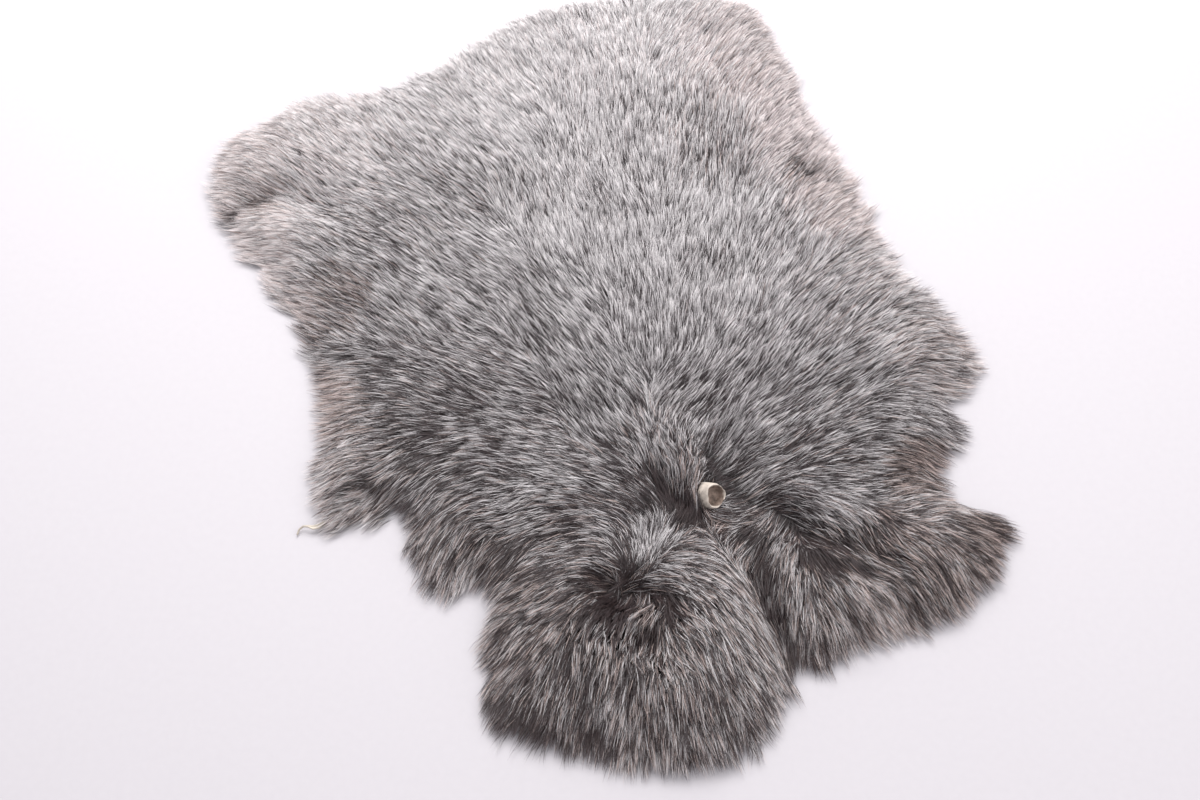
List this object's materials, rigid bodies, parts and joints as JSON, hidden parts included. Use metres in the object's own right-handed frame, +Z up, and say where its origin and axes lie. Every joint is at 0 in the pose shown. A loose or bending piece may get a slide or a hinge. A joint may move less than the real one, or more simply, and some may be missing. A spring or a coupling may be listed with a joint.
{
  "type": "rabbit skin",
  "caption": "Dressed rabbit skin lying flat with its fur up: an irregular grey pelt with bunched rump and leg lobes and a short bare tail stub.",
  "frame": {"origin": "middle of the skin's bounding box, on the surface that it lies on", "axes": "+Z up from the surface, +Y from the rump to the neck along the skin, +X across it to the right seen with the neck away from the viewer"},
  "size_m": [0.3754, 0.436, 0.0312],
  "materials": {
    "hide": "dry suede flesh side of a dressed skin",
    "fur": "dense grizzled grey fur with pale tips"
  },
  "bodies": {
    "root": {"hide": "hide", "fur_coat": "fur"}
  },
  "joints": []
}
